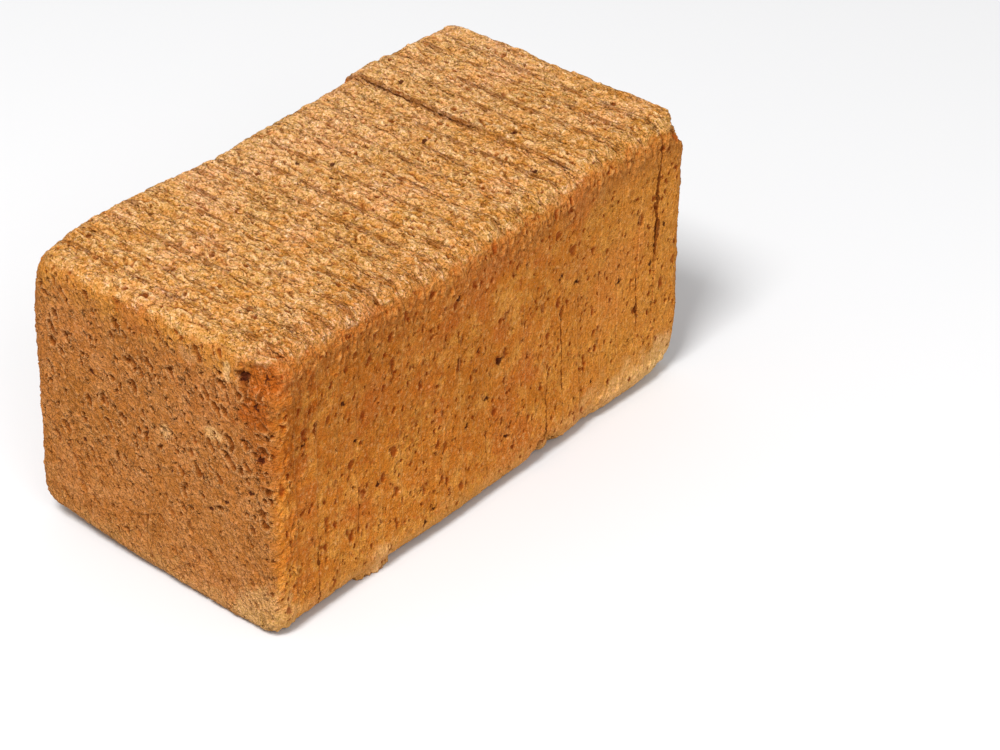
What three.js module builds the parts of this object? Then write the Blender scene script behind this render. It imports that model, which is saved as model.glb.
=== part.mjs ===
// A square sandwich loaf of wholegrain bread, baked in a lidded tin and cut into slices that still
// stand together in the shape of the loaf, with a crust heel at each end.
//
// Units are millimetres and +Z is up. X runs along the loaf, from the near heel to the far heel, Y runs
// across it, and the origin is the middle of the underside, on the surface that the loaf stands on.

import * as THREE from "three";

// The whole loaf
const LENGTH = 216; // over both heels
const WIDTH = 110;
const HEIGHT = 107.5;
const LONG_EDGE = 9; // rounding of the four long edges
const END_RIM = 8; // rounding where an end face turns into the sides, at the top
const FOOT_RIM_SHARE = 0.6; // the same rounding at the foot, as a share of END_RIM

// The bread has sunk a little as it cooled
const SIDE_SINK = 2.2; // how far the long sides lie in at half height, in the middle of the loaf
const SINK_POWER = 4; // the sink dies out towards the ends with this power of the distance
const TOP_SINK = 0.8; // how far the top lies in along its middle
const END_SINK = 1.0; // how far the end faces lie in at their middle

// Three corners of the loaf are more rounded than the rest: where each is, how far its rounding reaches
// and which way the bread is pushed in there
const SOFT_CORNERS = [
  { x: -108, y: 55, z: 0, reach: 110, push: [0.6, 0, 6] },
  { x: -108, y: 55, z: 107.5, reach: 30, push: [2.4, -2.4, -3.2] },
  { x: 108, y: -55, z: 0, reach: 30, push: [-3, 1.5, 4] },
];

// The cuts: the thickness of each piece from the near heel to the far heel, at mid width on the top
const THICKNESSES = [
  11.2, 10.9, 10.5, 9.8, 11.4, 9.5, 10.0, 9.7, 9.2, 12.0,
  11.3, 10.5, 10.6, 9.9, 9.8, 12.7, 10.5, 11.5, 9.6, 15.4,
];
const CUT_GAP = 0.3; // air between two slices
const CUT_SKEW = 2.6; // how much further along a cut is at the far long side than at the near one
const LEAN_MEAN = 1.2; // how much further along a cut is at the foot than at the top, over all cuts
const LEAN_SWING = 2.2; // the lean rises and falls by this much along the loaf
const LEAN_PEAK = 12.5; // the number of the cut that leans most
const LEAN_PERIOD = 17; // in cuts
const SLICE_EDGE = 0.8; // rounding of a slice's own edges

// No slice stands quite like its neighbour: how much higher it is, and how far it sits towards the far
// long side
const RISES = [
  0.0, 0.3, 0.2, 0.6, 0.4, 0.0, -0.6, -1.2, -1.4, -1.0,
  -0.4, -0.7, -0.3, -0.6, 0.1, 1.5, 1.1, 0.6, 0.7, 0.1,
];
const SIDE_SHIFTS = [
  0.0, 0.1, 0.1, 0.3, 0.2, 0.0, -0.4, -0.9, -1.1, -0.8,
  -0.3, -0.6, -0.3, -0.4, 0.2, 1.0, 0.8, 0.5, 0.5, 0.2,
];

// Crust relief
const RELIEF = 0.4; // height of the low bumps in the crust
const BUMP_LENGTH = 13; // from one bump to the next
const RELIEF_SEED = 7;

// Facets
const STRAIGHT_STEPS = 5; // along each straight side of the outline
const ARC_STEPS = 3; // round each corner of the outline, and round an end rim
const INNER_RING = 0.55; // the ring inside a cut face, as a share of the outline
const END_RINGS = [0.3, 0.55, 0.75, 0.92]; // rings on an end face, as shares of its flat part

const NEAR_END = -LENGTH / 2;
const FAR_END = LENGTH / 2;
const HALF_WIDTH = WIDTH / 2;
const HALF_HEIGHT = HEIGHT / 2;

// Colours of the baked crust: the slices show the sandy top and side crust, the heels the browner end
const sliceCrust = new THREE.MeshStandardMaterial({ color: 0xc18445, roughness: 0.85, metalness: 0 });
const heelCrust = new THREE.MeshStandardMaterial({ color: 0xb27038, roughness: 0.85, metalness: 0 });

// A number between -1 and 1 that is always the same for the same three whole numbers.
function scatter(i, j, k) {
  const wave = 43758.5453 * Math.sin(127.1 * i + 311.7 * j + 74.7 * k + RELIEF_SEED);
  return 2 * (wave - Math.floor(wave)) - 1;
}

// Low bumps in the crust: scattered heights on a cubic grid, blended smoothly between its corners.
function bumps(x, y, z) {
  const cell = [x, y, z].map((value) => Math.floor(value / BUMP_LENGTH));
  const within = [x, y, z].map((value, axis) => value / BUMP_LENGTH - cell[axis]);
  const blend = within.map((share) => share * share * (3 - 2 * share));
  let height = 0;
  for (const di of [0, 1]) {
    for (const dj of [0, 1]) {
      for (const dk of [0, 1]) {
        const weight =
          (di ? blend[0] : 1 - blend[0]) * (dj ? blend[1] : 1 - blend[1]) * (dk ? blend[2] : 1 - blend[2]);
        height += weight * scatter(cell[0] + di, cell[1] + dj, cell[2] + dk);
      }
    }
  }
  return RELIEF * height;
}

// The loaf's square outline with round corners, as a list of points { y, z, outY, outZ }, anticlockwise
// when seen from the far end. outY and outZ point straight out. insetAt gives how far the outline is
// drawn in at a height.
function outline(insetAt) {
  const points = [];
  const corners = [
    { y: HALF_WIDTH - LONG_EDGE, z: LONG_EDGE, start: -Math.PI / 2 },
    { y: HALF_WIDTH - LONG_EDGE, z: HEIGHT - LONG_EDGE, start: 0 },
    { y: LONG_EDGE - HALF_WIDTH, z: HEIGHT - LONG_EDGE, start: Math.PI / 2 },
    { y: LONG_EDGE - HALF_WIDTH, z: LONG_EDGE, start: Math.PI },
  ];
  const push = (y, z, outY, outZ) => {
    const radius = LONG_EDGE - insetAt(z + LONG_EDGE * outZ);
    points.push({ y: y + radius * outY, z: z + radius * outZ, outY, outZ });
  };
  corners.forEach((corner, index) => {
    for (let step = 0; step <= ARC_STEPS; step += 1) {
      const angle = corner.start + ((Math.PI / 2) * step) / ARC_STEPS;
      push(corner.y, corner.z, Math.cos(angle), Math.sin(angle));
    }
    const { outY, outZ } = points[points.length - 1];
    const next = corners[(index + 1) % corners.length];
    for (let step = 1; step < STRAIGHT_STEPS; step += 1) {
      const share = step / STRAIGHT_STEPS;
      push(corner.y + (next.y - corner.y) * share, corner.z + (next.z - corner.z) * share, outY, outZ);
    }
  });
  return points;
}

// The same outline shrunk towards the middle of the section by a scale.
function shrunk(points, scale) {
  return points.map((point) => ({
    ...point,
    y: point.y * scale,
    z: HALF_HEIGHT + (point.z - HALF_HEIGHT) * scale,
  }));
}

// How far along the loaf the pieces before number `piece` reach, at mid width on the top.
function reachOf(piece) {
  return NEAR_END + THICKNESSES.slice(0, piece).reduce((sum, thickness) => sum + thickness, 0);
}

// Where a point of the plain square section ends up in piece number `piece`: the sides and the top have
// sunk, and the piece has its own height and its own place across the loaf.
function settled(point, piece) {
  const level = point.z / HEIGHT;
  const across = point.y / HALF_WIDTH;
  const middle = (reachOf(piece) + reachOf(piece + 1)) / 2;
  const sinkShare = 1 - (middle / FAR_END) ** SINK_POWER;
  const sideSink = SIDE_SINK * sinkShare * across * Math.sin(Math.PI * level) ** 2;
  const topSink = TOP_SINK * (1 - across * across) * level;
  const rise = RISES[piece] * level;
  return { ...point, y: point.y - sideSink + SIDE_SHIFTS[piece], z: point.z - topSink + rise };
}

// How far along the loaf cut number `cut` is, at a place on its face. Cut 1 is the first.
function cutAt(cut, y, z) {
  const lean = LEAN_MEAN + LEAN_SWING * Math.cos((2 * Math.PI * (cut - LEAN_PEAK)) / LEAN_PERIOD);
  return reachOf(cut) + (CUT_SKEW * y) / WIDTH + lean * (1 - z / HEIGHT);
}

// A place pushed in where it is near a soft corner.
function softened([x, y, z]) {
  let place = [x, y, z];
  for (const corner of SOFT_CORNERS) {
    const away = Math.hypot(x - corner.x, y - corner.y, z - corner.z);
    const share = Math.max(0, 1 - away / corner.reach) ** 2;
    place = place.map((value, axis) => value + share * corner.push[axis]);
  }
  return place;
}

// The crust's relief at a point that faces out by (outX, outY, outZ). The underside stays flat.
function withRelief(x, point, outX) {
  const onUnderside = point.outZ < -0.5 && outX === 0;
  const height = onUnderside ? 0 : bumps(x, point.y, point.z);
  const share = Math.sqrt(1 - outX * outX);
  const lift = Math.max(point.z + height * point.outZ * share, 0);
  return softened([x + height * outX, point.y + height * point.outY * share, lift]);
}

// A closed mesh from rings of equally many points, with a single point closing it at each end.
function closedBody(firstPoint, rings, lastPoint) {
  const count = rings[0].length;
  const positions = [firstPoint, ...rings.flat(), lastPoint];
  const last = positions.length - 1;
  const lastRing = last - count;
  const index = [];
  for (let j = 0; j < count; j += 1) {
    const next = (j + 1) % count;
    index.push(0, 1 + next, 1 + j);
    for (let ring = 0; ring < rings.length - 1; ring += 1) {
      const here = 1 + ring * count;
      const there = here + count;
      index.push(here + j, here + next, there + next, here + j, there + next, there + j);
    }
    index.push(lastRing + j, lastRing + next, last);
  }
  const geometry = new THREE.BufferGeometry();
  geometry.setAttribute("position", new THREE.Float32BufferAttribute(positions.flat(), 3));
  geometry.setIndex(index);
  geometry.computeVertexNormals();
  return geometry;
}

// The middle of a cut face, and its rings from the middle out to the crust. side is +1 for the face
// that looks at the far heel and -1 for the one that looks at the near heel.
function cutFace(piece, side) {
  const cut = side > 0 ? piece + 1 : piece;
  const onCut = (point, depth) => {
    const place = settled(point, piece);
    return [cutAt(cut, place.y, place.z) - side * (CUT_GAP / 2 + depth), place.y, place.z];
  };
  const crustRing = outline(() => 0).map((point) => {
    const [x] = onCut(point, SLICE_EDGE);
    return withRelief(x, settled(point, piece), 0);
  });
  const faceRing = outline(() => SLICE_EDGE);
  return {
    middle: onCut({ y: 0, z: HALF_HEIGHT }, 0),
    rings: [
      shrunk(faceRing, INNER_RING).map((point) => softened(onCut(point, 0))),
      faceRing.map((point) => softened(onCut(point, 0))),
      crustRing,
    ],
  };
}

// The middle of an end face, and its rings from the middle out and round the rim to the crust.
function endFace(piece, side) {
  const end = side > 0 ? FAR_END : NEAR_END;
  const dent = (point) => {
    const across = point.y / HALF_WIDTH;
    const up = (point.z - HALF_HEIGHT) / HALF_HEIGHT;
    return END_SINK * Math.max(0, 1 - across * across) * Math.max(0, 1 - up * up);
  };
  const onEnd = (point) => withRelief(end - side * dent(point), settled(point, piece), side);
  const rimAt = (z) => END_RIM * (FOOT_RIM_SHARE + (1 - FOOT_RIM_SHARE) * (z / HEIGHT));
  const heights = outline(() => 0).map((point) => point.z);
  const rings = END_RINGS.map((scale) => shrunk(outline(rimAt), scale).map(onEnd));
  for (let step = 0; step <= ARC_STEPS; step += 1) {
    const angle = ((Math.PI / 2) * step) / ARC_STEPS;
    const outX = side * Math.cos(angle);
    rings.push(
      outline((z) => rimAt(z) * (1 - Math.sin(angle))).map((point, number) => {
        const depth = rimAt(heights[number]) * (1 - Math.cos(angle));
        const x = end - side * (depth + dent(point));
        return withRelief(x, settled(point, piece), step === ARC_STEPS ? 0 : outX);
      }),
    );
  }
  return { middle: onEnd({ y: 0, z: HALF_HEIGHT, outY: 0, outZ: 0 }), rings };
}

// One piece of bread between its near face and its far face.
function breadPiece(name, nearFace, farFace, material) {
  const rings = [...nearFace.rings, ...farFace.rings.reverse()];
  const mesh = new THREE.Mesh(closedBody(nearFace.middle, rings, farFace.middle), material);
  mesh.name = name;
  return mesh;
}

const loaf = new THREE.Group();
const lastPiece = THICKNESSES.length - 1;
loaf.add(breadPiece("heel_front", endFace(0, -1), cutFace(0, 1), heelCrust));
for (let piece = 1; piece < lastPiece; piece += 1) {
  const name = `slice_${String(piece).padStart(2, "0")}`;
  loaf.add(breadPiece(name, cutFace(piece, -1), cutFace(piece, 1), sliceCrust));
}
loaf.add(breadPiece("heel_back", cutFace(lastPiece, -1), endFace(lastPiece, 1), heelCrust));

export default loaf;
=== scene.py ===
# %% [markdown]
# # A sliced sandwich loaf
# The real thing is a square loaf of wholegrain bread, baked in a lidded tin and cut by a row of blades.
# Nothing holds the slices but their own crumb, so they still stand in the shape of the loaf, each a
# little higher or lower than the next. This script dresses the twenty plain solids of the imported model
# with crust and crumb, in metres and in the model's own frame: X along the loaf, Z up.

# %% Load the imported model
from itertools import product
from math import cos, pi, radians, sin

import bpy
import numpy as np
from mathutils import Matrix, Vector


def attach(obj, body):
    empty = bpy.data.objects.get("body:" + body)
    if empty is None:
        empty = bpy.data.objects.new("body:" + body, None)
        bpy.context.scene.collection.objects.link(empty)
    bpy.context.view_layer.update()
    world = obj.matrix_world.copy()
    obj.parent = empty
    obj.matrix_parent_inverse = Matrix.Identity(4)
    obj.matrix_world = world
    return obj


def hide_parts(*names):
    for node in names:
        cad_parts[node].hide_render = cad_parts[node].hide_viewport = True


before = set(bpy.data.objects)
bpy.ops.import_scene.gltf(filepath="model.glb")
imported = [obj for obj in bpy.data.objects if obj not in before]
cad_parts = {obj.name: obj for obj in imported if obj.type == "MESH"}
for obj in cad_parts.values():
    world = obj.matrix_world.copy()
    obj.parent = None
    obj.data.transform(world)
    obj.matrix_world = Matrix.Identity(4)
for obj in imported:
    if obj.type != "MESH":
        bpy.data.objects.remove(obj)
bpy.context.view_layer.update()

# %% [markdown]
# ## The camera first
# A camera fitted to the outline of a photographed box gives the box's proportions and the place of the
# camera in one go. It is made first, because every later choice is judged through it. The lens is long,
# a short telephoto, so the long edges of the loaf hardly converge.

# %% Place the camera
MM = 0.001
LOOK_AT = Vector((1.8, -56.4, 50.0)) * MM
DISTANCE = 1.071
AZIMUTH = radians(-51.33)
ELEVATION = radians(33.75)
ROLL = radians(1.28)
LENS = 114.4

back = Vector((sin(AZIMUTH) * cos(ELEVATION), -cos(AZIMUTH) * cos(ELEVATION), sin(ELEVATION)))
level_right = Vector((0, 0, 1)).cross(back).normalized()
level_up = back.cross(level_right)
right = cos(ROLL) * level_right + sin(ROLL) * level_up
up = cos(ROLL) * level_up - sin(ROLL) * level_right

camera_data = bpy.data.cameras.new("camera")
camera_data.lens = LENS
camera_data.sensor_width = 36
camera = bpy.data.objects.new("camera", camera_data)
bpy.context.scene.collection.objects.link(camera)
turned = Matrix((right, up, back)).transposed().to_4x4()
camera.matrix_world = Matrix.Translation(LOOK_AT + back * DISTANCE) @ turned
bpy.context.scene.camera = camera
print("camera at", [round(value, 3) for value in camera.matrix_world.translation])

# %% [markdown]
# ## Table and light
# The loaf stands on a white table under a large soft light, high up on the side of its near end, with a
# weak one beside the camera and white all round. The table throws a lot of that light back onto the
# foot of the loaf, and the finish paints the foot paler than its flank as well, as painted light. It
# could be one small lamp, but its shadow would be too dark: big area lights and a bright world keep the
# shadow as faint as one on a light table.

# %% Make the table, the light and the surroundings
TABLE_REACH, TABLE_LEVEL = 6.0, -0.1 * MM
LAMP_DISTANCE = 2.2
LAMPS = (
    # name, where it shines from, size, watts
    ("key_light", (-0.50, -0.14, 0.85), 0.6, 54.0),
    ("side_light", (-0.38, -0.66, 0.64), 0.8, 10.0),
)
SKY_STRENGTH = 0.66
TABLE_WHITE = (0.62, 0.62, 0.625, 1)

table_mesh = bpy.data.meshes.new("table")
corner_signs = ((-1, -1), (1, -1), (1, 1), (-1, 1))
table_corners = [(x * TABLE_REACH, y * TABLE_REACH, TABLE_LEVEL) for x, y in corner_signs]
table_mesh.from_pydata(table_corners, [], [(0, 1, 2, 3)])
table = bpy.data.objects.new("table", table_mesh)
bpy.context.scene.collection.objects.link(table)

table_finish = bpy.data.materials.new("white_table")
table_finish.use_nodes = True
table_shader = table_finish.node_tree.nodes["Principled BSDF"]
table_shader.inputs["Base Color"].default_value = TABLE_WHITE
table_shader.inputs["Roughness"].default_value = 0.7
table_shader.inputs["Specular IOR Level"].default_value = 0.1
table_mesh.materials.append(table_finish)

for name, shines_from, size, watts in LAMPS:
    lamp_data = bpy.data.lights.new(name, "AREA")
    lamp_data.size = size
    lamp_data.energy = watts
    lamp = bpy.data.objects.new(name, lamp_data)
    bpy.context.scene.collection.objects.link(lamp)
    toward = Vector(shines_from).normalized()
    lamp.location = toward * LAMP_DISTANCE
    lamp.rotation_euler = toward.to_track_quat("Z", "Y").to_euler()

world = bpy.data.worlds.new("white_room")
world.use_nodes = True
world.node_tree.nodes["Background"].inputs["Color"].default_value = (1, 1, 1, 1)
world.node_tree.nodes["Background"].inputs["Strength"].default_value = SKY_STRENGTH
bpy.context.scene.world = world
bpy.context.scene.view_settings.view_transform = "Standard"

# %% [markdown]
# ## The sizes of the loaf
# These are the same driving sizes that the solids were made from: the tin, the thickness of each piece,
# how far the bread has sunk, how high each piece stands, and three corners that are more rounded. A
# dressed piece stays where its solid is only if both are worked out from the same numbers in the same
# way. One number more names the only cut where the slices of the real loaf stand apart.

# %% Name the sizes
LENGTH, WIDTH, HEIGHT = 216 * MM, 110 * MM, 107.5 * MM
LONG_EDGE = 9 * MM
END_RIM, FOOT_RIM_SHARE = 8 * MM, 0.6
SIDE_SINK, TOP_SINK, END_SINK = 2.2 * MM, 0.8 * MM, 1.0 * MM
SINK_POWER = 4
SOFT_CORNERS = (
    # corner, reach, push, in mm
    ((-108, 55, 0), 110, (0.6, 0, 6)),
    ((-108, 55, 107.5), 30, (2.4, -2.4, -3.2)),
    ((108, -55, 0), 30, (-3, 1.5, 4)),
)
CUT_SKEW = 2.6 * MM
LEAN_MEAN, LEAN_SWING, LEAN_PEAK, LEAN_PERIOD = 1.2 * MM, 2.2 * MM, 12.5, 17
THICKNESSES = np.array([
    11.2, 10.9, 10.5, 9.8, 11.4, 9.5, 10.0, 9.7, 9.2, 12.0,
    11.3, 10.5, 10.6, 9.9, 9.8, 12.7, 10.5, 11.5, 9.6, 15.4,
]) * MM
RISES = np.array([
    0.0, 0.3, 0.2, 0.6, 0.4, 0.0, -0.6, -1.2, -1.4, -1.0,
    -0.4, -0.7, -0.3, -0.6, 0.1, 1.5, 1.1, 0.6, 0.7, 0.1,
]) * MM
SIDE_SHIFTS = np.array([
    0.0, 0.1, 0.1, 0.3, 0.2, 0.0, -0.4, -0.9, -1.1, -0.8,
    -0.3, -0.6, -0.3, -0.4, 0.2, 1.0, 0.8, 0.5, 0.5, 0.2,
]) * MM
STEPPED_CUT = 15
LAST = len(THICKNESSES) - 1
NAMES = ["heel_front"] + [f"slice_{number:02d}" for number in range(1, LAST)] + ["heel_back"]
CUT_PLACES = np.cumsum(THICKNESSES) - LENGTH / 2
print(len(NAMES), "pieces; cuts at", np.round(CUT_PLACES[:-1] / MM, 1), "mm")

# %% [markdown]
# ## Random numbers that stay put
# Bread is random, but a render must come out the same each time, and a hollow that lies across a cut
# must be there on both slices. So the randomness is a rule on places: a whole-number cell of space is
# mixed into 32 bits by multiplying and folding, always with the same result.

# %% Mix cells into random numbers
MIXERS = [np.uint32(value) for value in (374761393, 668265263, 2246822519)]
FOLD = np.uint32(3266489917)
TEN_BITS = np.uint32(1023)


def random_bits(cell, seed):
    """32 bits for each cell: its three whole numbers times large odd numbers, added, then folded twice."""
    parts = [cell[..., axis].astype(np.uint32) * MIXERS[axis] for axis in range(3)]
    mixed = parts[0] + parts[1] + parts[2] + np.uint32((seed * 2654435761) % 2**32)
    mixed = (mixed ^ (mixed >> np.uint32(15))) * MIXERS[2]
    mixed = (mixed ^ (mixed >> np.uint32(13))) * FOLD
    return mixed ^ (mixed >> np.uint32(16))


def three_shares(mixed):
    """Three numbers from 0 to 1, ten bits each, in the last axis of a new array."""
    tens = [(mixed >> np.uint32(shift)) & TEN_BITS for shift in (0, 10, 20)]
    return np.stack(tens, -1).astype(np.float32) / np.float32(1023)


# %% [markdown]
# ## Two patterns of space
# Everything rough on this crust is a mix of two patterns. Soft noise makes swells and streaks, and where
# it changes sign its size makes a sharp crease. Pits are the burst bubbles of the dough: balls scattered
# through space, of which the surface cuts some. Both could be pictures wrapped round the loaf, but a
# pattern of space has no seam, and both faces of a cut find the same pit.

# %% Define soft noise and pits
CORNERS = np.array(list(product((0, 1), repeat=3)), np.int32)
NEIGHBOURS = np.array(list(product((-1, 0, 1), repeat=3)), np.int32)


def soft_noise(places, size, seed):
    """Gradient noise, about -1 to 1. Each corner of a cube has a random slope; the eight slopes are
    followed to the place inside the cube and blended with a quintic ease."""
    scaled = (places / size).astype(np.float32)
    cell = np.floor(scaled).astype(np.int32)
    within = scaled - cell
    ease = within**3 * (within * (within * 6 - 15) + 10)
    total = np.zeros(scaled.shape[:-1], np.float32)
    for corner in CORNERS:
        slope = three_shares(random_bits(cell + corner, seed)) * 2 - 1
        follow = (slope * (within - corner)).sum(-1)
        weight = np.where(corner, ease, 1 - ease).prod(-1)
        total += weight * follow
    return total * 1.6


def pits(places, spacing, share, radius, seed):
    """Bowls where scattered balls are cut: 1 in the middle of a ball, falling with the square of the
    distance to 0 at its rim and -1 further out. Each cube of the grid holds one ball, and only a share
    of them count."""
    scaled = (places / spacing).astype(np.float32)
    cell = np.floor(scaled).astype(np.int32)
    deepest = np.full(scaled.shape[:-1], -1, np.float32)
    for offset in NEIGHBOURS:
        corner = cell + offset
        centre = corner + three_shares(random_bits(corner, seed))
        chance = three_shares(random_bits(corner, seed + 1))
        ball = radius / spacing * (0.45 + 0.55 * chance[..., 0])
        bowl = 1 - ((scaled - centre) ** 2).sum(-1) / ball**2
        deepest = np.maximum(deepest, np.where(chance[..., 1] < share, bowl, -1))
    return deepest


def ease_between(low, high, value):
    """0 below low, 1 above high, and a smooth cubic between them."""
    share = np.clip((value - low) / (high - low), 0, 1)
    return share * share * (3 - 2 * share)


# %% [markdown]
# ## The outline of the loaf
# The section is a square with round corners. Its four quarters each run from the middle of one corner arc
# to the middle of the next: half an arc, a straight side, half an arc. Starting in the arcs makes the
# quarters the four edges of a square grid, which later closes the ends without a seam.

# %% Define the outline and how the bread has settled
AROUND = 832
QUARTER = AROUND // 4
QUARTERS = (
    # outward, along, then the centre of the first arc, all as (y, z)
    ((-1, 0), (0, 1), (LONG_EDGE - WIDTH / 2, LONG_EDGE), HEIGHT),
    ((0, 1), (1, 0), (LONG_EDGE - WIDTH / 2, HEIGHT - LONG_EDGE), WIDTH),
    ((1, 0), (0, -1), (WIDTH / 2 - LONG_EDGE, HEIGHT - LONG_EDGE), HEIGHT),
    ((0, -1), (-1, 0), (WIDTH / 2 - LONG_EDGE, LONG_EDGE), WIDTH),
)


def outline(inset):
    """Places (y, z) and outward directions round the section, drawn in by inset. Each place is the arc's
    centre, moved along the straight side by the length walked there, plus the radius times the outward
    direction, which turns 45 degrees through each half arc."""
    places, outwards = [], []
    half_arc = LONG_EDGE * pi / 4
    for outward, along, centre, size in QUARTERS:
        outward, along, centre = np.array(outward), np.array(along), np.array(centre)
        straight = size - 2 * LONG_EDGE
        walked = np.linspace(0, straight + 2 * half_arc, QUARTER, endpoint=False)
        turn = np.clip(walked / half_arc, 0, 1) + np.clip((walked - half_arc - straight) / half_arc, 0, 1)
        angle = (turn - 1) * pi / 4
        out = np.cos(angle)[:, None] * outward + np.sin(angle)[:, None] * along
        slid = np.clip(walked - half_arc, 0, straight)[:, None] * along
        places.append(centre + slid)
        outwards.append(out)
    places, outwards = np.concatenate(places), np.concatenate(outwards)
    return places + (LONG_EDGE - np.asarray(inset)[..., None]) * outwards, outwards


def joined(x, section):
    """Places (x, y, z) from x and (y, z)."""
    return np.concatenate([x[..., None], section], -1)


def settle(section, piece, side):
    """Sinks the sides by the squared sine of the height, less towards the ends of the loaf, and the top
    by a parabola, then lifts the piece in proportion to the height and shifts it across. At a cut, two
    neighbours meet half way, except at the one where the slices really stand apart."""
    across, level = section[..., 0] / (WIDTH / 2), section[..., 1] / HEIGHT
    middle = CUT_PLACES[piece] - THICKNESSES[piece] / 2
    sink = SIDE_SINK * (1 - (middle / (LENGTH / 2)) ** SINK_POWER)
    cut = piece + 1 if side > 0 else piece
    other = piece if cut == STEPPED_CUT else min(max(piece + side, 0), LAST)
    rise = (RISES[piece] + RISES[other]) / 2
    shift = (SIDE_SHIFTS[piece] + SIDE_SHIFTS[other]) / 2
    y = section[..., 0] - sink * across * np.sin(pi * level) ** 2 + shift
    z = section[..., 1] - (TOP_SINK * (1 - across**2) - rise) * level
    return np.stack([y, z], -1)


def soften(places):
    """Pushes places near a soft corner in, by a share of its push that falls with the square of the
    distance."""
    softer = places
    for corner, reach, push in SOFT_CORNERS:
        away = np.sqrt(((places - np.array(corner) * MM) ** 2).sum(-1)) / (reach * MM)
        softer = softer + (np.clip(1 - away, 0, 1) ** 2)[..., None] * np.array(push) * MM
    return softer


section_now, _ = outline(0.0)
print("outline of", len(section_now), "points,", round(float(np.ptp(section_now[:, 0])) / MM, 1), "mm wide")

# %% [markdown]
# ## The cuts
# The blades leave nearly flat faces, but soft bread drags, so a cut wanders by a few tenths of a
# millimetre and both its faces wander together. On the flanks the crust has closed up again and hardly a
# cut shows. On the top the crumbly edges have broken away in places, and a few cuts gape. Those are
# listed by the place where they are torn most.

# %% Define where each cut runs and how torn it is
WANDER = 0.45 * MM
FINE_WANDER = 0.45 * MM
CLOSED_GAP = 0.004 * MM
OPEN_GAP = 0.09 * MM
OPENS_AT = 0.9
TOP_TEAR = 0.85
TEARS = (
    # cut, y, z, reach in mm, strength: 1 is a thin line darkened by the groove and by painted shade, above
    # it the cut gapes
    (15, 30, 107, 22, 2.4),
    (15, 0, 107, 14, 1.0),
    (14, -30, 107, 20, 2.2),
    (19, -55, 97, 6, 2.4),
    (19, -55, 83, 7, 3.2),
    (19, -55, 64, 7, 3.4),
    (19, -55, 60, 26, 0.5),
    (19, 0, 107, 50, 1.4),
    (14, -55, 40, 18, 1.3),
    (4, -55, 50, 40, 0.7),
    (2, -55, 16, 14, 1.9),
    (18, -55, 38, 16, 1.0),
    (13, -55, 18, 14, 0.9),
    (10, -55, 22, 12, 0.8),
    (9, 5, 107, 16, 1.2),
    (17, 10, 107, 26, 0.8),
    (1, 0, 107, 40, 0.5),
)


def on_cut(cut, section):
    """Places (y, z) on a cut's own sheet of the noise space."""
    return np.stack([np.full(section.shape[:-1], cut * 37.3 * MM), section[..., 0], section[..., 1]], -1)


def cut_at(cut, section):
    """Distance along the loaf of a cut at places (y, z): its own place, skewed with y, leaning with z,
    and wandering by soft noise that depends on the cut and the place alone."""
    lean = LEAN_MEAN + LEAN_SWING * cos(2 * pi * (cut - LEAN_PEAK) / LEAN_PERIOD)
    place = CUT_PLACES[cut - 1] + CUT_SKEW * section[..., 0] / WIDTH + lean * (1 - section[..., 1] / HEIGHT)
    sheet = on_cut(cut, section)
    return place + WANDER * soft_noise(sheet, 14 * MM, 11) + FINE_WANDER * soft_noise(sheet, 3.2 * MM, 12)


def torn_at(cut, section, top):
    """How torn a cut is: on the top broken up by noise, plus the bell-shaped tears listed for it."""
    sheet = on_cut(cut, section)
    ragged = np.clip(0.5 + soft_noise(sheet, 8 * MM, 13) + 0.9 * soft_noise(sheet, 2.2 * MM, 18), 0.12, 1.5)
    torn = TOP_TEAR * top * ragged
    for number, tear_y, tear_z, reach, strength in TEARS:
        if number == cut:
            distance = np.hypot(section[..., 0] - tear_y * MM, section[..., 1] - tear_z * MM) / (reach * MM)
            torn = torn + strength * np.exp(-(distance**2)) * (0.15 + ragged)
    return torn


# %% [markdown]
# ## What the crust looks like where
# The lid pressed the top into a dry, sandy, crumbly crust. The flanks slid along the tin and are smoother
# and deep orange-brown, with small upright pits. The end is the densest in pits, which lean to one side,
# and its lower third is smoother. The larger burst bubbles catch the eye, and those are put where the
# real loaf has them, as are its scars: a sunken patch at the near corner of the end, a nibbled foot, a
# rough far corner.

# %% Place the burst bubbles and the scars
TOP_HOLES = (
    # along from the near end, across from the far side, radius, in mm
    (100, 44, 0.9), (107.5, 38, 1.2), (139.5, 52, 1.1), (147.5, 93, 1.7), (161.5, 75, 1.2), (163, 22, 1.1),
    (167, 38, 1.0), (21, 63, 0.9), (7.5, 91.5, 1.1), (60.5, 106.5, 1.1), (99.5, 29, 0.9), (90.5, 39.5, 1.0),
    (181, 44, 1.1), (46, 88, 0.9), (19, 96.5, 1.0), (3, 86, 1.4),
)
FLANK_HOLES = (
    # along from the near end, up from the foot, radius, in mm
    (34, 75.5, 1.2), (106.5, 103.5, 1.2), (88.5, 91.5, 1.5), (180, 52, 1.4), (203.5, 65.5, 1.3),
    (155.5, 64, 1.2), (101.5, 63.5, 1.2), (95.5, 35.5, 1.3), (106.5, 41, 1.3), (116, 21, 1.2),
    (77, 12.5, 1.2), (72.5, 8.5, 1.1), (51, 35, 1.3), (40.5, 57.5, 1.1), (198, 52, 1.2), (91.5, 103, 0.9),
    (1.5, 104.5, 1.3), (145.5, 70.5, 1.1), (113.5, 52.5, 1.5), (15, 70, 1.2), (164.5, 18, 1.0),
)
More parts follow.
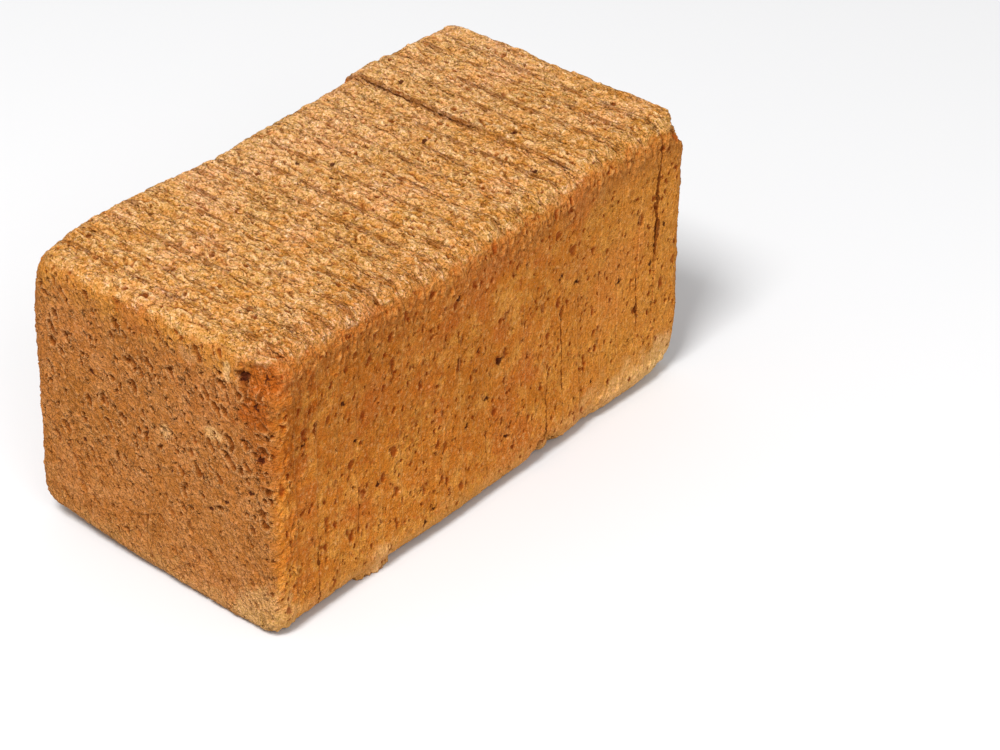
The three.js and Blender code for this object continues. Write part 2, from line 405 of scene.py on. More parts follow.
END_HOLES = (
    # across from the far side, up from the foot, radius, in mm
    (29, 69.5, 1.4), (23.5, 38.5, 1.5), (59.5, 19.5, 1.2), (78.5, 51.5, 1.2), (81.5, 40, 1.5),
    (99.5, 54.5, 1.3), (97, 98, 2.3), (108, 100.5, 2.8), (102.5, 88.5, 1.2), (104, 69.5, 1.8), (65, 62, 0.9),
    (64, 47, 1.1), (52.5, 57, 1.2), (34, 86.5, 1.2), (43.5, 75.5, 1.1), (88, 46, 1.1), (12, 76, 1.2),
)
SCARS = (
    # middle x, y, z and reach along x, y, z in mm; sunk in by, in mm; then shares: smooth, orange, cream
    ((-108, -50, 99.5), (6, 11, 6), 2.2, 0.8, 0.7, 0.0),
    ((-108, -50, 106.5), (5, 11, 2.6), -1.3, 0.1, 0.0, 0.6),
    ((-108, -35.5, 98), (3, 2.2, 5), 0.5, 0.6, 0.0, 0.8),
    ((-108, -48, 91), (3, 6, 1.3), 0.9, 0.2, 0.4, 0.0),
    ((-108, -47, 86), (4, 7, 6), 0.4, 0.6, 0.6, 0.0),
    ((-106, -54, 84), (22, 16, 30), 0.0, 0.0, 0.5, 0.0),
    ((-108, -49, 71), (3, 3, 3), 0.6, 0.2, 0.8, 0.0),
    ((-108, 4, 101), (6, 14, 7), 0.5, 0.6, 0.5, 0.1),
    ((-108, 13, 103), (5, 1.2, 8), 0.8, 0.2, 0.2, 0.0),
    ((-106, 22, 108), (4, 16, 2), -0.5, 0.2, 0.0, 0.7),
    ((-108, -7, 61.5), (2, 4, 5), 0.2, 0.2, 0.0, 0.55),
    ((-108, -28, 71), (2, 6, 4), 0.2, 0.2, 0.0, 0.6),
    ((-106, -50, 6), (10, 18, 17), 0.0, 0.0, 0.0, 0.5),
    ((-108, -18, 97), (3, 5, 4), 0.3, 0.4, 0.4, 0.4),
    ((-108, -28, 84), (2, 22, 13), 0.0, 0.0, 0.3, 0.0),
    ((-58, -54, 76), (48, 8, 34), 0.0, 0.0, 0.4, 0.0),
    ((-10, -54, 42), (42, 8, 28), 0.0, 0.0, 0.28, 0.0),
    ((-57, -53, 7), (8, 4, 9), -0.4, 0.3, 0.0, 0.5),
    ((-58, -49, 0), (10, 8, 4), -2.8, 0.1, 0.0, 0.3),
    ((30, -53, 0), (10, 8, 10), 3.0, 0.0, 0.0, 0.3),
    ((107, -53, 102), (10, 8, 11), 3.0, 0.0, 0.0, 0.2),
    ((80, -53, 4), (24, 10, 8), -0.9, 0.0, 0.0, 0.3),
    ((100, -53, 4), (16, 10, 9), 0.0, 0.0, 0.0, 0.6),
    ((-100, -47, 107), (5, 5, 3), 0.8, 0.0, 0.4, 0.0),
)


def listed_holes():
    """The listed holes as places (x, y, z) in the frame, with their radii."""
    near, far, lid = -LENGTH / 2, WIDTH / 2, HEIGHT
    top = [(near + a * MM, far - b * MM, lid, r * MM) for a, b, r in TOP_HOLES]
    flank = [(near + a * MM, -far, b * MM, r * MM) for a, b, r in FLANK_HOLES]
    end = [(near, far - a * MM, b * MM, r * MM) for a, b, r in END_HOLES]
    return np.array(top + flank + end, np.float32)


HOLES = listed_holes()
print(len(HOLES), "holes and", len(SCARS), "scars placed by eye")

# %% [markdown]
# ## The relief of the crust
# One function turns places on the smooth loaf into a height above it, and gives the surface values that
# the colour will need: how hollow, how orange, how pale. The colour then follows the same pits as the
# shape, and paints shade into them. Each region has its own recipe, and the recipes are mixed by how much
# a place belongs to it.

# %% Define the relief
SLANT = radians(60)
GROOVE = 1.2
VALUES = ("top", "end", "crumb", "apart", "torn", "hollow", "cavity", "hole", "orange", "cream")


def slanted(places):
    """The end's own axes: along the pits, shortened so that round pits come out long, and across them."""
    y, z = places[..., 1], places[..., 2]
    along = y * cos(SLANT) + z * sin(SLANT)
    over = y * sin(SLANT) - z * cos(SLANT)
    return np.stack([places[..., 0], along / 1.9, over], -1)


def bowl_and_rim(pit):
    """A pit as a height: its bowl below the surface and a low raised rim round it."""
    rim = np.clip(1 - np.abs(pit + 0.2) / 0.6, 0, 1)
    return 0.32 * rim - np.clip(pit, 0, 1) ** 0.7


def hole_mask(places):
    """1 in the middle of a listed hole and 0 outside, with a rim made ragged by noise."""
    ragged = 1 + 1.1 * soft_noise(places * (1, 1, 0.8), 1.2 * MM, 31)
    mask = np.full(places.shape[:-1], -1, np.float32)
    for x, y, z, radius in HOLES:
        gap = places - np.array((x, y, z), np.float32)
        reach = (gap**2).sum(-1) / (radius * ragged) ** 2
        mask = np.maximum(mask, 1 - reach)
    return mask


def scar_values(places):
    """How far the scars sink the crust, in mm, and how smooth, orange and cream they make it."""
    ragged = 0.30 * soft_noise(places, 4 * MM, 35) + 0.15 * soft_noise(places, 1.5 * MM, 36)
    totals = [np.zeros(places.shape[:-1], np.float32) for _ in range(4)]
    for middle, reach, *amounts in SCARS:
        away = (places - np.array(middle) * MM) / (np.array(reach) * MM)
        share = ease_between(1.0, 0.6, np.sqrt((away**2).sum(-1)) + ragged)
        for total, amount in zip(totals, amounts):
            total += amount * share
    return totals


def crust_relief(places, facing, groove):
    """Height above the smooth crust in metres, and the surface values. The top is long broken ridges,
    wrinkles and pits; the flank is streaks, creases and upright pits, more creased towards its upper
    edge; the end is folds and slanted pits. Swells run under all of it, and the scars, the grooves
    along the cuts and the listed holes are sunk into it."""
    edge = 0.20 * soft_noise(places, 6 * MM, 23) + 0.16 * soft_noise(places, 2.2 * MM, 37)
    top = ease_between(0.20, 0.75, facing[..., 2] + edge)
    end = np.minimum(ease_between(0.35, 0.95, np.abs(facing[..., 0]) + 0.4 * edge), 1 - top)
    flank = 1 - top - end
    swell = 0.30 * soft_noise(places, 17 * MM, 1) + 0.16 * soft_noise(places, 6 * MM, 2)
    warp = np.stack([soft_noise(places, 2.6 * MM, seed) for seed in (3, 4, 5)], -1) * 1.0 * MM
    bent = places + warp

    ridges = np.abs(soft_noise(bent * (1, 0.36, 1), 3.6 * MM, 24))
    wrinkles = np.abs(soft_noise(bent * (1, 0.55, 1), 1.6 * MM, 27))
    torn_off = soft_noise(bent * (1, 0.5, 1), 4.5 * MM, 38)
    top_pits = pits(bent * (1, 0.7, 1), 3.4 * MM, 0.45, 1.2 * MM, 7)
    top_height = 1.8 * ridges + 0.9 * wrinkles + 0.5 * torn_off + 0.7 * bowl_and_rim(top_pits) - 0.75
    top_height = top_height * (0.35 + 0.65 * ease_between(0.75, 1.0, facing[..., 2]))

    small_pits = pits(places * (1, 1, 0.7) + 0.5 * warp, 2.5 * MM, 0.6, 0.95 * MM, 9)
    large_pits = pits(places * (1, 1, 0.6) + 0.8 * warp, 5.0 * MM, 0.6, 1.8 * MM, 30)
    flank_pits = np.maximum(small_pits, large_pits)
    streaks = soft_noise(bent * (1, 1, 0.22), 1.2 * MM, 21)
    creases = np.abs(soft_noise(bent * (1, 1, 0.45), 2.8 * MM, 25))
    upper = ease_between(80, 104, places[..., 2] / MM + 10 * soft_noise(places, 14 * MM, 39))
    upper = np.maximum(upper, 0.7 * ease_between(-86, -102, places[..., 0] / MM))
    flank_height = 0.14 * streaks + 0.35 * creases + 0.75 * bowl_and_rim(flank_pits)
    flank_height = flank_height + upper * (1.2 * creases + 0.5 * wrinkles - 0.35)

    pitted = 0.5 + 0.5 * ease_between(24, 44, places[..., 2] / MM + 9 * soft_noise(places, 26 * MM, 15))
    end_places = slanted(places + 0.8 * warp)
    small_pits = pits(end_places, 2.0 * MM, 0.5, 0.9 * MM, 17)
    large_pits = pits(end_places, 4.0 * MM, 0.6, 1.9 * MM, 28)
    end_pits = np.maximum(small_pits, large_pits)
    folds = np.abs(soft_noise(end_places, 2.2 * MM, 29))
    end_height = 0.6 * folds * pitted + 1.6 * bowl_and_rim(end_pits) * pitted

    holes = hole_mask(places)
    sunk, smooth, orange, cream = scar_values(places)
    rough = (top * top_height + flank * flank_height + end * end_height) * (1 - 0.8 * np.clip(smooth, 0, 1))
    dug = GROOVE * groove * (top + 0.3 * flank)
    height = swell + rough - sunk - dug - 0.8 * np.clip(holes, 0, 1) ** 0.5
    pit = top * top_pits + flank * flank_pits + end * (end_pits * pitted - (1 - pitted))
    values = {"top": top, "end": end, "hole": holes, "orange": orange, "cream": cream, "cavity": rough}
    values["hollow"] = np.where(smooth > 0.5, -1, pit)
    return height * MM, values


def local_average(heights, wraps):
    """Heights on a grid, smoothed by averaging each with its neighbours four times in both directions."""
    for _ in range(4):
        for axis, mode in ((0, "edge"), (1, "wrap" if wraps else "edge")):
            padded = np.pad(np.swapaxes(heights, 0, axis), ((1, 1), (0, 0)), mode=mode)
            heights = np.swapaxes((padded[:-2] + padded[1:-1] + padded[2:]) / 3, 0, axis)
    return heights


# %% [markdown]
# ## Carrying the outline along a piece
# A slice is a tube: the outline is carried from the near cut to the far cut, over a small round edge at
# each. A heel's tube ends in the big round rim of the end instead. Each ring has a depth along the loaf
# and an inset, so the same few lines make sharp edges, round rims and flat bands.

# %% Define the rings of a piece
ACROSS = 23
EDGE_RINGS = 3
RIM_RINGS = 24
FACE_INSET = 0.7 * MM
TOP_EDGE, FLANK_EDGE = 0.45 * MM, 0.03 * MM
GROOVE_REACH, RIB_REACH, FAR_FROM_CUTS = 0.6 * MM, 2.8 * MM, 9 * MM


def cut_rings(piece, side):
    """Rings from inside a cut face out over its edge: depth and inset follow a quarter circle, and the
    outward direction turns from along the loaf to square off it. Gives x, section, settled section,
    outward direction and the way the crust faces."""
    cut = piece + 1 if side > 0 else piece
    flat, outwards = outline(0.0)
    top = ease_between(0.3, 0.9, outwards[:, 1])
    torn = torn_at(cut, flat, top)
    radius = FLANK_EDGE + TOP_EDGE * np.clip(torn, 0, 2) * (0.2 + 0.8 * top)
    gap = CLOSED_GAP + OPEN_GAP * np.clip(torn - OPENS_AT, 0, None)
    turns = [0.0] + [pi / 2 * step / EDGE_RINGS for step in range(EDGE_RINGS + 1)]
    made = []
    for index, angle in enumerate(turns):
        section, out = outline(radius * (1 - sin(angle)) + (FACE_INSET if index == 0 else 0))
        placed = settle(section, piece, side)
        x = cut_at(cut, placed) - side * (gap + radius * (1 - cos(angle)))
        direction = joined(np.full(AROUND, side * cos(angle)), sin(angle) * out)
        made.append((x, section, placed, direction, joined(np.zeros(AROUND), out)))
    return made


def end_dent(section):
    """How far the end has sunk in: a dome over the whole section, zero at its outline."""
    across = section[..., 0] / (WIDTH / 2)
    rise = section[..., 1] / (HEIGHT / 2) - 1
    return END_SINK * np.clip(1 - across**2, 0, 1) * np.clip(1 - rise**2, 0, 1)


def rim_radius():
    """How round the rim of an end is, for each point of the outline: tighter towards the foot."""
    flat, _ = outline(0.0)
    return END_RIM * (FOOT_RIM_SHARE + (1 - FOOT_RIM_SHARE) * flat[:, 1] / HEIGHT)


def rim_rings(piece, side):
    """Rings from the flat of an end out round its rim: a quarter circle of the rim's radius."""
    rim = rim_radius()
    made = []
    for step in range(RIM_RINGS + 1):
        angle = pi / 2 * step / RIM_RINGS
        section, out = outline(rim * (1 - sin(angle)))
        x = side * (LENGTH / 2 - rim * (1 - cos(angle)) - end_dent(section))
        direction = joined(np.full(AROUND, side * cos(angle)), sin(angle) * out)
        made.append((x, section, settle(section, piece, side), direction, direction))
    return made


def cut_marks(piece, x):
    """How near the cuts each place of a tube is: the groove, for each cut a narrow bell of the distance
    times how torn the cut is, and on the top a wide one as well; the distance to the nearest cut in
    mm; and how torn that one is."""
    flat, outwards = outline(0.0)
    top = ease_between(0.3, 0.9, outwards[:, 1])
    groove, torn, apart = np.zeros(x.shape), np.zeros(x.shape), np.full(x.shape, FAR_FROM_CUTS)
    for cut, distance in ((piece, x - x[0]), (piece + 1, x[-1] - x)):
        if 0 < cut <= LAST:
            strength = torn_at(cut, flat, top)
            narrow = np.exp(-((distance / GROOVE_REACH) ** 2))
            wide = np.exp(-((distance / RIB_REACH) ** 2))
            groove += 0.5 * np.clip(strength + 0.4 * top, 0, 1.6) * narrow + 0.75 * top * wide
            torn = np.where(distance < apart, strength, torn)
            apart = np.minimum(apart, distance)
    return groove, apart / MM, torn


# %% [markdown]
# ## Closing the ends with a grid
# A tube needs closing. A fan of thin triangles to one point would do for a flat face, but relief looks
# bad on it. So the last ring becomes the border of a square grid, and the inside is filled by blending
# the four borders, which is called a Coons patch. On the cut faces, hidden between the slices, the ring
# is first thinned four to one.

# %% Define the grid and the faces
THIN = 4


def filled(ring, side_steps):
    """A Coons patch: the sum of the two straight blends between opposite borders, less the blend of the
    four corners. Row 0 is the underside and column 0 the near long side."""
    near, top, far, foot = (ring[side * side_steps:(side + 1) * side_steps] for side in range(4))
    near = np.concatenate([near, top[:1]])
    top = np.concatenate([top, far[:1]])
    far = np.concatenate([far, foot[:1]])[::-1]
    foot = np.concatenate([foot, ring[:1]])[::-1]
    share = np.linspace(0, 1, side_steps + 1)
    row, column = share[:, None, None], share[None, :, None]
    across = near[:, None] * (1 - column) + far[:, None] * column
    upward = foot[None] * (1 - row) + top[None] * row
    low = near[0] * (1 - column) + far[0] * column
    high = near[-1] * (1 - column) + far[-1] * column
    return across + upward - low * (1 - row) - high * row


def grid_numbers(ring_numbers, side_steps, first):
    """Vertex numbers of the grid: the border takes the ring's vertices, the inside counts on from
    first."""
    inside = side_steps - 1
    numbers = np.zeros((side_steps + 1, side_steps + 1), np.int64)
    numbers[1:-1, 1:-1] = first + np.arange(inside * inside).reshape(inside, inside)
    near, top, far, foot = ring_numbers.reshape(4, side_steps)
    numbers[:-1, 0] = near
    numbers[-1, :-1] = top
    numbers[:0:-1, -1] = far
    numbers[0, :0:-1] = foot
    return numbers


def grid_quads(numbers, side):
    """The squares of a grid of vertex numbers, turned to face along +x or -x."""
    corners = [numbers[:-1, :-1], numbers[:-1, 1:], numbers[1:, 1:], numbers[1:, :-1]]
    quads = np.stack(corners, -1).reshape(-1, 4)
    return quads if side > 0 else quads[:, ::-1]


def grid_border(grid):
    """The border of a grid as a ring, in the order of the outline."""
    return np.concatenate([grid[:-1, 0], grid[-1, :-1], grid[:0:-1, -1], grid[0, :0:-1]])


def thinning_triangles(fine, coarse, side):
    """Five triangles from every four fine edges to one coarse edge."""
    a = [np.roll(fine, -step)[::THIN] for step in range(THIN + 1)]
    b, after = coarse, np.roll(coarse, -1)
    fans = [(b, a[0], a[1]), (b, a[1], a[2]), (b, a[2], after), (after, a[2], a[3]), (after, a[3], a[4])]
    triangles = np.concatenate([np.stack(fan, -1) for fan in fans])
    return triangles[:, ::-1] if side > 0 else triangles


# %% [markdown]
# ## Putting a piece together
# Inside, the bread is an open crumb of small round bubbles. It hardly shows, only where a slice stands
# proud of its neighbour, so shallow pits in the face are enough there. The crust gets its full relief,
# and each place also learns how far it lies below the average round it: the colour paints shade into
# such places, where light hardly reaches, and a paler highlight onto the places that stand above it.

# %% Build the body of one piece
BUBBLE_SPACING, BUBBLE_RADIUS, BUBBLE_DEPTH = 4.2 * MM, 1.9 * MM, 0.9 * MM
CRUMB_INSET, FACE_SINK = 3.0 * MM, 0.15 * MM


class Body:
    """The vertices, surface values and faces of one piece, gathered part by part."""

    def __init__(self):
        self.places, self.quads, self.triangles, self.count = [], [], [], 0
        self.values = {name: [] for name in VALUES}

    def add(self, places, values):
        """Adds vertices with their surface values, which are 0 when not given; gives their numbers."""
        size = len(places)
        self.places.append(places)
        for name in VALUES:
            value = np.asarray(values.get(name, 0), np.float32)
            self.values[name].append(np.broadcast_to(value, (size,)))
        self.count += size
        return np.arange(self.count - size, self.count)


def raised(body, wraps, x, section, placed, direction, facing, marks):
    """Lifts a grid of places on the smooth loaf by the crust's relief along their outward direction, less
    where they look along the loaf into a cut. The noise is taken at the unsettled section, so it runs on
    across the cuts, and nothing goes below the table."""
    groove, apart, torn = marks
    smooth = joined(x, placed)
    height, values = crust_relief(joined(x, section), facing, groove)
    rough = values["cavity"]
    crust = np.clip((direction * facing).sum(-1), 0, 1)
    values["cavity"] = np.clip(local_average(rough, wraps) - rough, -1, 1) * crust
    values["apart"], values["torn"] = apart, torn
    lifted = soften(smooth + direction * (height * crust)[..., None])
    lifted[..., 2] = np.maximum(lifted[..., 2], 0)
    return body.add(lifted.reshape(-1, 3), {name: np.ravel(value) for name, value in values.items()})


def crumb_face(body, ring_numbers, piece, side):
    """Closes a cut face: the ring is thinned, then a grid fills it, with bubbles sunk into the crumb."""
    cut = piece + 1 if side > 0 else piece
    steps = QUARTER // THIN
    inner, _ = outline(np.full(AROUND, CRUMB_INSET))
    grid = filled(inner[::THIN], steps)
    placed = settle(grid, piece, side)
    x = cut_at(cut, placed)
    bubbles = np.clip(pits(joined(x, placed), BUBBLE_SPACING, 0.6, BUBBLE_RADIUS, 41), 0, 1)
    sheet = soften(joined(x - side * (FACE_SINK + BUBBLE_DEPTH * bubbles), placed))
    coarse = body.add(grid_border(sheet), {"hollow": grid_border(bubbles), "crumb": 1})
    body.triangles.append(thinning_triangles(ring_numbers, coarse, side))
    first = body.count
    body.add(sheet[1:-1, 1:-1].reshape(-1, 3), {"hollow": bubbles[1:-1, 1:-1].ravel(), "crumb": 1})
    body.quads.append(grid_quads(grid_numbers(coarse, steps, first), side))


def end_face(body, ring_numbers, piece, side):
    """Closes a heel's outer end with a full-size grid that carries the crust's relief."""
    flat, _ = outline(rim_radius())
    inside = QUARTER - 1
    grid = filled(flat, QUARTER)[1:-1, 1:-1]
    x = side * (LENGTH / 2 - end_dent(grid))
    direction = np.broadcast_to(np.array([side, 0.0, 0.0]), (inside, inside, 3))
    first = body.count
    far_from_cuts = (0.0, np.full(x.shape, FAR_FROM_CUTS / MM), 0 * x)
    raised(body, False, x, grid, settle(grid, piece, side), direction, direction, far_from_cuts)
    body.quads.append(grid_quads(grid_numbers(ring_numbers, QUARTER, first), side))


def between(near, far, steps):
    """Rings spaced evenly from one ring to another, without either."""
    shares = [step / steps for step in range(1, steps)]
    return [tuple(a * (1 - share) + b * share for a, b in zip(near, far)) for share in shares]


def piece_body(piece):
    """The whole surface of one piece: a tube of rings closed at both ends."""
    body = Body()
    near = rim_rings(piece, -1) if piece == 0 else cut_rings(piece, -1)
    far = rim_rings(piece, 1) if piece == LAST else cut_rings(piece, 1)
    far = far[::-1]
    rings = near + between(near[-1], far[0], ACROSS) + far
    parts = [np.array(part) for part in zip(*rings)]
    numbers = raised(body, True, *parts, cut_marks(piece, parts[0])).reshape(len(rings), AROUND)
    here, there = numbers[:-1], numbers[1:]
    quads = np.stack([here, there, np.roll(there, -1, 1), np.roll(here, -1, 1)], -1)
    body.quads.append(quads.reshape(-1, 4))
    for ring, side, outer in ((numbers[0], -1, piece == 0), (numbers[-1], 1, piece == LAST)):
        if outer:
            end_face(body, ring, piece, side)
        else:
            crumb_face(body, ring, piece, side)
    return body


# %% [markdown]
# ## From arrays to a mesh
# Blender takes whole arrays of coordinates, corners and face starts with foreach_set, which is quick even
# for a hundred thousand faces. The surface values go in as named attributes, one number for each vertex,
# for the materials to read.

# %% Define the mesh maker
def make_mesh(name, body):
    """A mesh from the body's arrays: all quads first, then all triangles, shaded smooth."""
    places = np.concatenate(body.places)
    quads = np.concatenate(body.quads)
    triangles = np.concatenate(body.triangles) if body.triangles else np.zeros((0, 3), np.int64)
    corners = np.concatenate([quads.ravel(), triangles.ravel()]).astype(np.int32)
    starts = np.concatenate([np.arange(len(quads)) * 4, quads.size + np.arange(len(triangles)) * 3])
    mesh = bpy.data.meshes.new(name)
    mesh.vertices.add(len(places))
    mesh.vertices.foreach_set("co", places.astype(np.float32).ravel())
    mesh.loops.add(len(corners))
    mesh.loops.foreach_set("vertex_index", corners)
    mesh.polygons.add(len(starts))
    mesh.polygons.foreach_set("loop_start", starts.astype(np.int32))
    mesh.update(calc_edges=True)
    mesh.shade_smooth()
    for value in VALUES:
        attribute = mesh.attributes.new(value, "FLOAT", "POINT")
        attribute.data.foreach_set("value", np.concatenate(body.values[value]).astype(np.float32))
    return mesh


# %% [markdown]
# ## Writing shader maths as Python
# A crust's colour is a sum of many small rules. Drawn as nodes it is a thicket, so a small class wraps a
# socket and lets ordinary operators add the Math nodes. One method makes every other node.

# %% Define the wire and the finish
class Wire:
    """A socket whose number can be used in an expression; every operator adds one Math node."""

    def __init__(self, finish, socket):
        self.finish, self.socket = finish, socket

    def math(self, operation, first, second=0.0):
        """One Math node, on one or two numbers."""
        made = self.finish.node("ShaderNodeMath", {"operation": operation}, {0: first, 1: second})
        return Wire(self.finish, made.outputs[0])

    def __add__(self, other):
        return self.math("ADD", self, other)

    def __sub__(self, other):
        return self.math("SUBTRACT", self, other)

    def __rsub__(self, other):
        return self.math("SUBTRACT", other, self)

    def __mul__(self, other):
        return self.math("MULTIPLY", self, other)

    __radd__, __rmul__ = __add__, __mul__

    def away_from(self, value):
        """How far the number is from a value, either way."""
        return self.math("ABSOLUTE", self - value)

    def ease(self, low, high):
        """0 below low, 1 above high, smooth between them."""
        inputs = {"Value": self, "From Min": low, "From Max": high}
        made = self.finish.node("ShaderNodeMapRange", {"interpolation_type": "SMOOTHSTEP"}, inputs)
        return Wire(self.finish, made.outputs[0])


class Finish:
    """The nodes of one material."""

    def __init__(self, name):
        self.material = bpy.data.materials.new(name)
        self.material.use_nodes = True
        self.tree = self.material.node_tree
        self.shader = self.tree.nodes["Principled BSDF"]

    def node(self, kind, settings, inputs):
        """Makes a node, sets its settings, then its sockets, by a value or by a wire."""
        made = self.tree.nodes.new(kind)
        for setting, value in settings.items():
            setattr(made, setting, value)
        self.feed(made, inputs)
        return made

    def feed(self, node, inputs):
        """Sets sockets of a node by a value or by a wire."""
        for name, value in inputs.items():
            if isinstance(value, Wire):
                self.tree.links.new(value.socket, node.inputs[name])
            else:
                node.inputs[name].default_value = value

    def value(self, name):
        """A surface value of the mesh, by its attribute's name."""
        return Wire(self, self.node("ShaderNodeAttribute", {"attribute_name": name}, {}).outputs["Fac"])

    def vector_math(self, operation, first, second):
        """A Vector Math node, as its two results: a vector and a number."""
        made = self.node("ShaderNodeVectorMath", {"operation": operation}, {0: first, 1: second})
        return Wire(self, made.outputs[0]), Wire(self, made.outputs[1])

    def place(self, stretch):
        """Object coordinates in metres, multiplied along each axis."""
        coordinates = Wire(self, self.node("ShaderNodeTexCoord", {}, {}).outputs["Object"])
        return self.vector_math("MULTIPLY", coordinates, stretch)[0]

    def slanted(self):
        """Object coordinates on the end's slanted axes, shortened along the pits."""
        place = self.place((1, 1, 1))
        axes = ((1, 0, 0), (0, cos(SLANT) / 1.5, sin(SLANT) / 1.5), (0, sin(SLANT), -cos(SLANT)))
        parts = [self.vector_math("DOT_PRODUCT", place, axis)[1] for axis in axes]
        return Wire(self, self.node("ShaderNodeCombineXYZ", {}, dict(enumerate(parts))).outputs[0])

    def coordinate(self, axis):
        """One of the three Object coordinates, in metres."""
        return Wire(self, self.node("ShaderNodeSeparateXYZ", {}, {0: self.place((1, 1, 1))}).outputs[axis])

    def noise(self, size, detail=2.0, stretch=(1, 1, 1), roughness=0.55, places=None):
        """Noise from 0 to 1 whose features are about size metres wide."""
        places = places or self.place(stretch)
        inputs = {"Vector": places, "Scale": 1 / size, "Detail": detail, "Roughness": roughness}
        return Wire(self, self.node("ShaderNodeTexNoise", {}, inputs).outputs[0])

    def pinholes(self, size, places):
        """Small round holes round scattered points, size metres apart: 1 inside, 0 outside."""
        made = self.node("ShaderNodeTexVoronoi", {"feature": "F1"}, {"Vector": places, "Scale": 1 / size})
        return 1.0 - Wire(self, made.outputs["Distance"]).ease(0.14, 0.42)

    def mix(self, share, first, second, blend="MIX"):
        """A colour between two, or the second laid over the first by a blend."""
        settings = {"data_type": "RGBA", "blend_type": blend}
        made = self.node("ShaderNodeMix", settings, {0: share, 6: first, 7: second})
        return Wire(self, made.outputs[2])

    def layers(self, colour, *layers):
        """A colour with others laid over it in turn, each by its share."""
        for share, over in layers:
            colour = self.mix(share, colour, over)
        return colour

    def shade(self, colour, tone):
        """A colour multiplied by a number, and its blue by the square of the number, because baked crust
        loses most of its blue as it darkens."""
        tint = self.node("ShaderNodeCombineColor", {}, {0: tone, 1: tone, 2: tone * tone})
        return self.mix(1.0, colour, Wire(self, tint.outputs[0]), "MULTIPLY")

    def bump(self, height, depth):
        """A bump that feeds Normal, with the height in units of depth metres."""
        made = self.node("ShaderNodeBump", {}, {"Height": height, "Distance": depth, "Strength": 1.0})
        self.tree.links.new(made.outputs[0], self.shader.inputs["Normal"])


def paint(red, green, blue):
    """A colour as seen on a screen, 0 to 255, in the linear numbers that a shader wants."""
    channels = np.array([red, green, blue]) / 255
    linear = np.where(channels <= 0.04045, channels / 12.92, ((channels + 0.055) / 1.055) ** 2.4)
    return (*(float(channel) for channel in linear), 1.0)


# %% [markdown]
# ## The finish of crust and crumb
# Baked crust is not one brown. The lid side is sand and gold with cream specks, the flank a deep
# orange-brown with reddish patches, the end browner still and more golden towards the top. Hollows,
# pits, cracks, creases and torn cuts are painted darker and redder as painted shade, because the light
# has to find its way in and out, and the holes are painted nearly black as painted shadow. The ridges of
# the fine bumps and the high places of the mesh are painted paler as painted highlight, and the foot is
# painted paler for the light that the table throws back.
# It could be a material for each side with hard borders, but the crust has none: one material is mixed
# by the surface values that the mesh carries.

# %% Make the finish
SAND, GOLD, ROSE = paint(196, 145, 85), paint(184, 124, 54), paint(182, 125, 74)
# Each region's dark colour is painted shade for the hollows of its fine bumps, and its light colour painted
# highlight for their ridges; the light colours also serve for pale specks and patches.
TOP_PALE_AND_HIGHLIGHT, TOP_VALLEY_SHADE = paint(232, 194, 144), paint(146, 80, 18)
FLANK_BROWN, FLANK_TAN, FLANK_RED = paint(184, 108, 32), paint(204, 136, 56), paint(166, 84, 26)
FLANK_PALE_AND_HIGHLIGHT, FLANK_VALLEY_SHADE, FLANK_DULL = paint(220, 162, 96), paint(156, 72, 12), paint(160, 95, 42)
END_BROWN, END_TAN, END_GOLD = paint(160, 98, 42), paint(174, 114, 60), paint(182, 120, 48)
END_HIGHLIGHT, END_VALLEY_SHADE = paint(198, 146, 96), paint(122, 62, 14)
# The foot colours are painted light: the foot is painted paler for the light that the table throws back.
SCAR_ORANGE, FOOT_BOUNCE_TAN, FOOT_BOUNCE_PALE = paint(150, 72, 12), paint(204, 146, 76), paint(214, 166, 104)
END_FOOT_BOUNCE = paint(174, 126, 72)
# Painted shade for hollows, pits and the low places of the mesh, where light hardly reaches.
HOLLOW_SHADE_BROWN, FLANK_PIT_SHADE, END_PIT_SHADE = paint(116, 52, 8), paint(136, 56, 10), paint(120, 60, 16)
# Painted shade for cracks, creases and torn cuts, and near black painted shadow for the holes.
CREVICE_SHADE, HOLE_SHADOW = paint(104, 44, 4), paint(66, 22, 10)
CREAM, CRUMB_CREAM, CRUMB_SHADE = paint(228, 186, 124), paint(218, 184, 136), paint(186, 140, 88)


